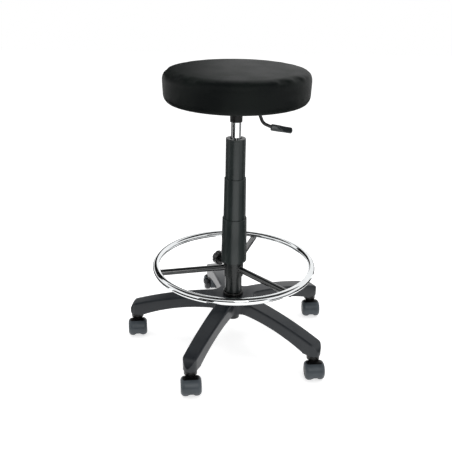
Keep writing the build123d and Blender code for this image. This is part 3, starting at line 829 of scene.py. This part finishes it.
@dataclass
class Lever:
    """Height lever: painted rod with a moulded paddle at its end."""

    shop: PaintShop
    drop: float = math.radians(8.5)
    corners: float = 3.2  # exponent of the section's rounded corners
    around: int = 36
    stations: int = 56
    length: float = 60 * MM
    start_in: float = 5.6 * MM  # the paddle's axis starts this far inside its plain solid's box
    start_below_top: float = 8.6 * MM
    half_width: float = 9.2 * MM
    half_thick_mm: float = 5.8
    thinning_mm: float = 1.2  # the blade is this much thinner than the block
    block_lean: float = 76.0  # degrees from level, at the rod
    blade_lean: float = 40.0
    scoop: float = 3.0 * MM
    heel: float = 0.05  # share of the length that rounds off at the rod
    heel_size: float = 0.62  # its size where the rod goes in
    nose: float = 0.09  # share of the length that rounds off at the end
    nose_blunt: float = 0.12

    def section(self, share: float) -> list[tuple[float, float]]:
        """Section of the paddle in its own leaning axes.

        Args:
            share: Place along the paddle, from 0 to 1.

        Returns:
            Across and up pairs.
        """
        heel = math.sqrt(1 - (1 - min(1.0, share / self.heel)) ** 2)
        blunt = self.heel_size + (1 - self.heel_size) * heel
        tip = math.sqrt(max(self.nose_blunt, 1 - (1 - min(1.0, (1 - share) / self.nose)) ** 2))
        wide = self.half_width * blunt * tip
        thick = (self.half_thick_mm - self.thinning_mm * smooth(0.25, 0.6, share)) * MM * blunt * tip
        corners = []
        for spot in range(self.around):
            turn = 2 * math.pi * spot / self.around
            c, s = math.cos(turn), math.sin(turn)
            side = math.copysign(abs(c) ** (2.0 / self.corners), c)
            rise = thick * math.copysign(abs(s) ** (2.0 / self.corners), s)
            if s > 0:
                edge = 0.42 - 0.17 * side  # the scoop starts on a slant
                hollow = smooth(edge - 0.05, edge + 0.07, share) * smooth(0.98, 0.86, share)
                rise -= self.scoop * hollow * (1 - side**4)
            corners.append((wide * side, rise))
        return corners

    def paddle(self) -> None:
        """Loft the paddle: an upright block that twists into a leaning blade with a thumb scoop."""
        low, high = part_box("lever_handle")
        start = Vector((low.x + self.start_in, 0.0, high.z - self.start_below_top))
        along = Vector((math.cos(self.drop), 0.0, -math.sin(self.drop)))
        level = Vector((0.0, 1.0, 0.0))
        above = along.cross(level)
        rings = []
        for station in range(self.stations):
            share = (1 - math.cos(math.pi * station / (self.stations - 1))) / 2
            twist = (self.blade_lean - self.block_lean) * smooth(0.15, 0.6, share)
            lean = math.radians(self.block_lean + twist)
            across = level * math.cos(lean) + above * math.sin(lean)
            up = above * math.cos(lean) - level * math.sin(lean)
            middle = start + along * (self.length * share)
            rings.append([middle + across * y + up * z for y, z in self.section(share)])
        paddle = loft("lever_paddle", rings)
        finer = paddle.modifiers.new("finer", "SUBSURF")
        finer.levels = finer.render_levels = 1
        self.shop.dress(paddle, HANDLE_PLASTIC)
        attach(paddle, "lever")
        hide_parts("lever_handle")

    def build(self) -> None:
        """Make and dress the lever."""
        self.paddle()
        self.shop.dress_node("lever_rod", LEVER_PAINT)


# ---- gas lift ----------------------------------------------------------------------


@dataclass
class GasLift:
    """Column, gas spring and telescopic covers."""

    shop: PaintShop

    def build(self) -> None:
        """Dress the column's nodes."""
        finishes = {
            COLUMN_PAINT: ("standpipe",),
            CHROME: ("pressure_tube",),
            BRIGHT_STEEL: ("piston_rod", "piston", "thrust_bearing", "hub_insert"),
            ZINC_STEEL: ("retaining_clip",),
            RUBBER: ("bumper", "cover_grommet", "rod_seal"),
            BUSH_PLASTIC: ("guide_bush",),
            BUTTON_PLASTIC: ("release_button",),
            COVER_PLASTIC: ("upper_cover", "middle_cover", "lower_cover"),
            TRIM_PLASTIC: ("base_collar",),
        }
        for finish, names in finishes.items():
            for name in names:
                self.shop.dress_node(name, finish)


# ---- foot rest ---------------------------------------------------------------------


@dataclass
class FootRest:
    """Chromed foot ring on three spokes, welded, with a clamp knob behind the column."""

    shop: PaintShop
    spoke_turns: tuple[float, ...] = (193.5, 313.5, 73.5)  # degrees
    spoke_radius: float = 9.0 * MM
    tube_radius: float = 10.0 * MM
    hub_radius: float = 28.7 * MM
    bead: float = 1.7 * MM
    bead_sides: int = 10
    ripples: int = 26
    ripple: float = 0.14  # share of the bead's size
    weld_steps: int = 104
    weld_start: int = -12  # degrees round the spoke, where the ring's bead begins
    weld_sweep: int = 204

    def bead_ring(self, name: str, path: Sequence[Vector], closed: bool) -> None:
        """Lay a rippled weld bead along a path.

        Args:
            name: The piece's name.
            path: Points along the joint.
            closed: Whether the path meets itself.
        """
        count = len(path)
        rings = []
        for number, point in enumerate(path):
            after = path[(number + 1) % count] if closed else path[min(number + 1, count - 1)]
            before = path[number - 1] if closed or number else path[0]
            ahead = (after - before).normalized()
            side = ahead.cross(Vector((0.0, 0.0, 1.0)))
            side = side.normalized() if side.length > 1e-3 else Vector((1.0, 0.0, 0.0))
            top = side.cross(ahead)
            end = 1.0 if closed else min(1.0, 0.25 + 4.0 * min(number, count - 1 - number) / count)
            wave = math.sin(2 * math.pi * self.ripples * number / count)
            size = self.bead * end * (1.0 + self.ripple * wave)
            turns = [2 * math.pi * i / self.bead_sides for i in range(self.bead_sides)]
            rings.append([point + side * (size * math.cos(t)) + top * (size * math.sin(t)) for t in turns])
        if closed:
            rings.append(rings[0])
        bead = loft(name, rings)
        self.shop.dress(bead, SPOKE_PAINT)
        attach(bead, "foot_rest")

    def welds(self) -> None:
        """Lay the beads where each spoke meets the hub and the ring."""
        spoke_low, spoke_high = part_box("ring_spokes")
        ring_low, ring_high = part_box("foot_ring")
        spoke_z = (spoke_low.z + spoke_high.z) / 2
        ring_z = (ring_low.z + ring_high.z) / 2
        ring_radius = ring_high.x - self.tube_radius
        steps = self.weld_steps
        for number, degrees in enumerate(self.spoke_turns, 1):
            turn = Matrix.Rotation(math.radians(degrees), 4, "Z")
            hub_path, ring_path = [], []
            for step in range(steps):
                angle = 2 * math.pi * step / steps
                y, z = self.spoke_radius * math.cos(angle), self.spoke_radius * math.sin(angle)
                hub_path.append(turn @ Vector((math.sqrt(self.hub_radius**2 - y * y), y, spoke_z + z)))
            for step in range(steps + 1):
                angle = math.radians(self.weld_start + self.weld_sweep * step / steps)
                y, z = self.spoke_radius * math.cos(angle), self.spoke_radius * math.sin(angle)
                depth = math.sqrt(max(0.0, self.tube_radius**2 - (spoke_z + z - ring_z) ** 2))
                reach = ring_radius - depth
                ring_path.append(turn @ Vector((math.sqrt(reach * reach - y * y), y, spoke_z + z)))
            self.bead_ring(f"hub_weld_{number}", hub_path, True)
            self.bead_ring(f"ring_weld_{number}", ring_path, False)

    def build(self) -> None:
        """Make the welds and dress the foot rest."""
        self.welds()
        self.shop.dress_node("foot_ring", CHROME)
        self.shop.dress_node("ring_spokes", SPOKE_PAINT)
        self.shop.dress_node("ring_hub", COLUMN_PAINT)
        self.shop.dress_node("hub_bush", BUSH_PLASTIC)
        self.shop.dress_node("clamp_knob", KNOB_PLASTIC)
        self.shop.dress_node("clamp_stud", ZINC_STEEL)


# ---- base ----------------------------------------------------------------------------


@dataclass
class Base:
    """Five-arm moulded star on twin-wheel casters."""

    shop: PaintShop
    casters: int = 5

    def build(self) -> None:
        """Dress the star and its casters."""
        self.shop.dress_node("base_star", BASE_NYLON)
        for number in range(1, self.casters + 1):
            self.shop.dress_node(f"caster_{number}_hood", CASTER_NYLON)
            self.shop.dress_node(f"caster_{number}_stem", BRIGHT_STEEL)
            self.shop.dress_node(f"caster_{number}_axle", BRIGHT_STEEL)
            for side in ("left", "right"):
                self.shop.dress_node(f"caster_{number}_wheel_{side}", WHEEL_NYLON)


# ---- studio --------------------------------------------------------------------------


@dataclass
class Studio:
    """White studio with two soft boxes, dark cards that only reflections see, and the camera."""

    eye: tuple[float, float, float] = (0.0, -1.7547, 1.1055)
    pitch: float = math.radians(22.808)
    yaw: float = math.radians(-0.788)
    roll: float = math.radians(0.733)
    lens: float = 52.31
    film: float = 36.0
    ambient: float = 0.55
    floor_half: float = 6.0
    floor_glow: float = 0.62
    card_lift: float = 0.01  # floor cards lie this far above the floor

    def camera(self) -> None:
        """Place the camera."""
        ahead = Vector(
            (
                math.sin(self.yaw) * math.cos(self.pitch),
                math.cos(self.yaw) * math.cos(self.pitch),
                -math.sin(self.pitch),
            )
        )
        right = Vector((math.cos(self.yaw), -math.sin(self.yaw), 0.0))
        up = right.cross(ahead)
        tilted = right * math.cos(self.roll) + up * math.sin(self.roll)
        above = up * math.cos(self.roll) - right * math.sin(self.roll)
        data = bpy.data.cameras.new("camera")
        data.lens = self.lens
        data.sensor_width = self.film
        camera = bpy.data.objects.new("camera", data)
        axes = Matrix((tilted, above, -ahead)).transposed().to_4x4()
        camera.matrix_world = Matrix.Translation(self.eye) @ axes
        bpy.context.scene.collection.objects.link(camera)
        bpy.context.scene.camera = camera

    def seen_share(self, tree: bpy.types.NodeTree) -> bpy.types.NodeSocket:
        """Tell rays that show the background: straight, mirrored or through glass.

        Args:
            tree: The nodes of the world or the floor.

        Returns:
            A socket that is one for those rays.
        """
        path = add_node(tree, "ShaderNodeLightPath")
        mirrored = add_node(
            tree,
            "ShaderNodeMath",
            {0: path.outputs["Is Camera Ray"], 1: path.outputs["Is Glossy Ray"]},
            {"operation": "MAXIMUM"},
        )
        both = add_node(
            tree,
            "ShaderNodeMath",
            {0: mirrored.outputs[0], 1: path.outputs["Is Transmission Ray"]},
            {"operation": "MAXIMUM"},
        )
        return both.outputs[0]

    def world(self) -> None:
        """White all round for what is seen, and dimmer as light."""
        world = bpy.data.worlds.new("studio")
        world.use_nodes = True
        tree = world.node_tree
        tree.nodes.clear()
        strength = add_node(
            tree,
            "ShaderNodeMapRange",
            {"Value": self.seen_share(tree), "To Min": self.ambient, "To Max": 1.0},
        )
        light = add_node(
            tree, "ShaderNodeBackground", {"Color": linear("#ffffff"), "Strength": strength.outputs["Result"]}
        )
        add_node(tree, "ShaderNodeOutputWorld", {"Surface": light.outputs["Background"]})
        bpy.context.scene.world = world

    def floor(self) -> None:
        """White floor that glows a little where it is seen, and keeps the stool's shadow."""
        half = self.floor_half
        square = ((-half, -half), (half, -half), (half, half), (-half, half))
        corners = [Vector((x, y, 0.0)) for x, y in square]
        floor = mesh_object("floor", corners, [(0, 1, 2, 3)])
        paper = bpy.data.materials.new("white paper sweep")
        paper.use_nodes = True
        tree = paper.node_tree
        tree.nodes.clear()
        matt = add_node(tree, "ShaderNodeBsdfDiffuse", {"Color": linear("#f4f4f4")})
        strength = add_node(
            tree,
            "ShaderNodeMapRange",
            {"Value": self.seen_share(tree), "To Min": 0.0, "To Max": self.floor_glow},
        )
        glow = add_node(
            tree, "ShaderNodeEmission", {"Color": linear("#ffffff"), "Strength": strength.outputs["Result"]}
        )
        both = add_node(tree, "ShaderNodeAddShader", {0: matt.outputs[0], 1: glow.outputs[0]})
        add_node(tree, "ShaderNodeOutputMaterial", {"Surface": both.outputs[0]})
        floor.data.materials.append(paper)

    def flag(self, name: str, corners: Sequence[tuple[float, float, float]], colour: str) -> None:
        """Stand a dark card where only reflections see it.

        Args:
            name: The card's name.
            corners: Its four corners.
            colour: Its colour.
        """
        card = mesh_object(name, [Vector(c) for c in corners], [(0, 1, 2, 3)])
        board = bpy.data.materials.new(f"{name} card")
        board.use_nodes = True
        tree = board.node_tree
        tree.nodes.clear()
        matt = add_node(tree, "ShaderNodeBsdfDiffuse", {"Color": linear(colour)})
        add_node(tree, "ShaderNodeOutputMaterial", {"Surface": matt.outputs[0]})
        card.data.materials.append(board)
        card.visible_camera = False
        card.visible_shadow = False
        card.visible_diffuse = False

    def wedge(self, name: str, sweep: tuple[float, float], reach: tuple[float, float], colour: str) -> None:
        """Lay a dark card on the floor between two turns from the front, seen only in reflections.

        Args:
            name: The card's name.
            sweep: Where it starts and ends, in degrees from the front, positive to the right.
            reach: Its inner and outer distance from the stool's axis.
            colour: Its colour.
        """
        spots = [(math.radians(turn), far) for far, order in zip(reach, (1, -1)) for turn in sweep[::order]]
        corners = [(far * math.sin(turn), -far * math.cos(turn), self.card_lift) for turn, far in spots]
        self.flag(name, corners, colour)

    def screen(
        self, name: str, sides: tuple[float, float], y: float, ends: tuple[float, float], colour: str
    ) -> None:
        """Stand an upright card across the view.

        Args:
            name: The card's name.
            sides: Its left and right x.
            y: Where it stands.
            ends: Its lowest and highest z.
            colour: Its colour.
        """
        (left, right), (low, high) = sides, ends
        self.flag(name, ((left, y, low), (right, y, low), (right, y, high), (left, y, high)), colour)

    def lamp(
        self, name: str, place: tuple[float, float, float], aim: tuple[float, float, float],
        size: tuple[float, float], power: float,
    ) -> bpy.types.Object:
        """Hang a soft box.

        Args:
            name: The lamp's name.
            place: Where it hangs.
            aim: The point it faces.
            size: Its width and height.
            power: Its power in watts.

        Returns:
            The lamp.
        """
        data = bpy.data.lights.new(name, "AREA")
        data.shape = "RECTANGLE"
        data.size, data.size_y = size
        data.energy = power
        lamp = bpy.data.objects.new(name, data)
        facing = (Vector(aim) - Vector(place)).to_track_quat("-Z", "Y")
        lamp.matrix_world = Matrix.Translation(place) @ facing.to_matrix().to_4x4()
        bpy.context.scene.collection.objects.link(lamp)
        return lamp

    def build(self) -> None:
        """Set the stage, the light and the camera."""
        self.camera()
        self.world()
        self.floor()
        near, far = 0.45, 3.4
        self.wedge("left_flag", (-78.0, -22.0), (near, far), "#080808")
        self.wedge("right_flag", (80.0, 120.0), (near, far), "#080808")
        self.wedge("grey_flag", (42.0, 80.0), (near, 1.9), "#6c6c6c")
        self.wedge("far_left_flag", (-150.0, -84.0), (near, far), "#555555")
        self.wedge("far_right_flag", (128.0, 165.0), (near, far), "#555555")
        self.screen("front_flag", (-3.5, 3.5), -3.6, (0.0, 2.6), "#202020")
        self.screen("back_flag", (-5.0, -0.2), 2.6, (0.85, 3.0), "#202020")
        ceiling = ((-4.0, -1.8, 3.0), (4.0, -1.8, 3.0), (4.0, 1.6, 3.0), (-4.0, 1.6, 3.0))
        self.flag("ceiling_flag", ceiling, "#484848")
        self.lamp("top_box", (0.1, 0.5, 2.5), (0.0, 0.0, 0.6), (2.0, 1.6), 26.0).visible_glossy = False
        self.lamp("front_box", (0.5, -2.5, 1.5), (0.0, 0.0, 0.4), (0.8, 1.2), 10.0)
        bpy.context.scene.view_settings.view_transform = "Standard"


def main() -> None:
    """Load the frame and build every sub-assembly round it."""
    logging.basicConfig(level=logging.INFO, format="%(name)s: %(message)s")
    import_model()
    shop = PaintShop.open()
    parts: Iterable[Seat | Lever | GasLift | FootRest | Base | Studio] = (
        Studio(),
        Base(shop),
        GasLift(shop),
        FootRest(shop),
        Seat(shop),
        Lever(shop),
    )
    for part in parts:
        LOG.info("building %s", type(part).__name__)
        part.build()
    bpy.context.view_layer.update()


if __name__ == "__main__":
    main()
